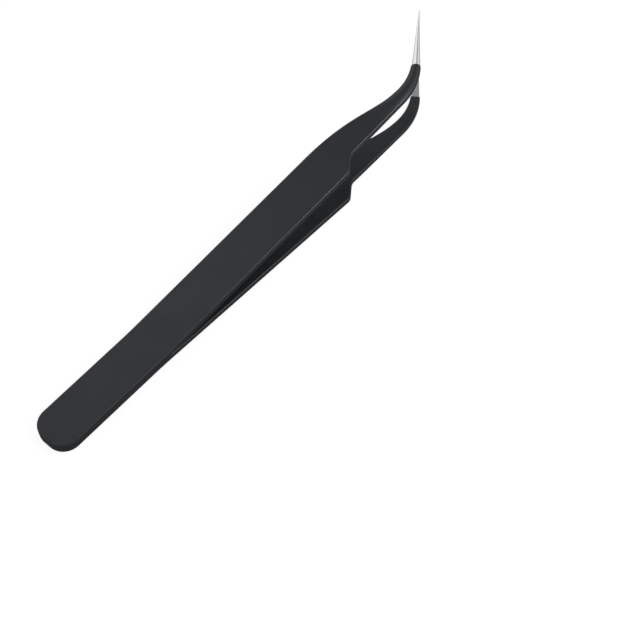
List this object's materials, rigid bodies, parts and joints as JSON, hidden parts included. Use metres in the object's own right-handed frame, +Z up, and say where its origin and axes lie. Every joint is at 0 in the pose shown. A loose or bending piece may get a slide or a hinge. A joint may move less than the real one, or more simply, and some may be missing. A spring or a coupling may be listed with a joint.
{
  "type": "curved tweezers",
  "caption": "Fine-point curved tweezers: sprung steel arms welded at the heel, with a black static-dissipative coat and bare ground tips.",
  "frame": {"origin": "on the surface that the tweezers lie on, under the middle of their bounding box", "axes": "+X from the heel towards the tips, +Y towards the side that the tips curve to, +Z up, which is also the way the arms open"},
  "size_m": [0.1214, 0.0163, 0.0134],
  "materials": {
    "steel": "stainless spring steel, ground along the tips and left bare there",
    "coat": "satin black static-dissipative epoxy coat with a very fine texture"
  },
  "bodies": {
    "heel": {"upper_tail": "steel", "lower_tail": "steel", "spot_welds": "steel", "heel_coat": "coat", "upper_flexure": "steel", "lower_flexure": "steel", "upper_flexure_coat": "coat", "lower_flexure_coat": "coat"},
    "upper_arm": {"upper_blade": "steel", "upper_blade_coat": "coat"},
    "lower_arm": {"lower_blade": "steel", "lower_blade_coat": "coat"}
  },
  "joints": [
    {"name": "upper_arm_flex", "type": "hinge", "parent": "heel", "child": "upper_arm", "pos_m": [-0.02836, -0.0035, 0.00394], "axis": [0, 1, 0], "range_deg": [0, 3.74], "stiffness_Nm_per_rad": 1.2, "deforming": ["upper_flexure", "upper_flexure_coat"]},
    {"name": "lower_arm_flex", "type": "hinge", "parent": "heel", "child": "lower_arm", "pos_m": [-0.02826, -0.0035, 0.00191], "axis": [0, -1, 0], "range_deg": [0, 3.74], "stiffness_Nm_per_rad": 1.2, "deforming": ["lower_flexure", "lower_flexure_coat"]}
  ]
}
